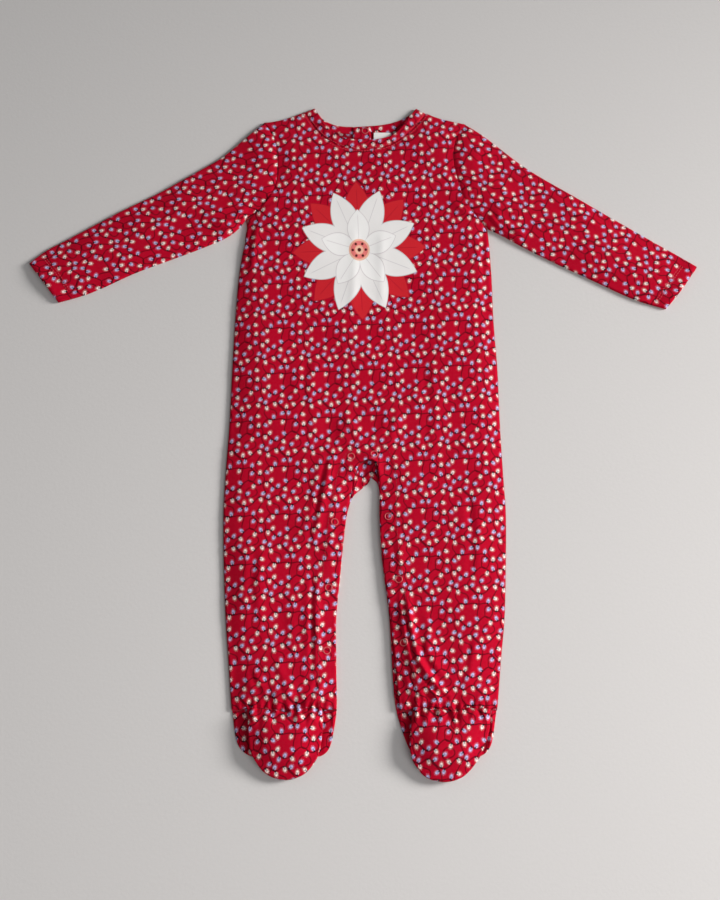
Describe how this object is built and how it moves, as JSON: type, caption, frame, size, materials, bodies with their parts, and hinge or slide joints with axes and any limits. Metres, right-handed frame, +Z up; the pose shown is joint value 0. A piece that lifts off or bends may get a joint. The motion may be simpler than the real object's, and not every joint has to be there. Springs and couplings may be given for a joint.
{
  "type": "footed baby sleepsuit",
  "caption": "Long-sleeved footed baby sleepsuit in printed jersey, laid flat, with a banded round neck and snapped inner legs.",
  "frame": {"origin": "on the surface that the suit lies on, under the middle of its box", "axes": "+X to the viewer's right across the sleeves, +Y from the feet towards the neck, +Z up from the surface"},
  "size_m": [0.7376, 0.7512, 0.0105],
  "materials": {
    "jersey": "soft matt cotton jersey, deep red with an all-over print of small string lights",
    "label": "plain white woven tape",
    "snap": "red enamelled metal ring"
  },
  "bodies": {
    "root": {"back_body": "jersey", "front_body": "jersey", "sleeve_left": "jersey", "sleeve_right": "jersey", "neck_band": "jersey", "back_placket": "jersey", "leg_placket": "jersey", "neck_label": "label", "foot_top_left": "jersey", "foot_top_right": "jersey", "foot_sole_left": "jersey", "foot_sole_right": "jersey", "snap_left_1": "snap", "snap_left_2": "snap", "snap_left_3": "snap", "snap_left_4": "snap", "snap_right_1": "snap", "snap_right_2": "snap", "snap_right_3": "snap", "snap_right_4": "snap", "snap_neck": "snap"}
  },
  "joints": []
}
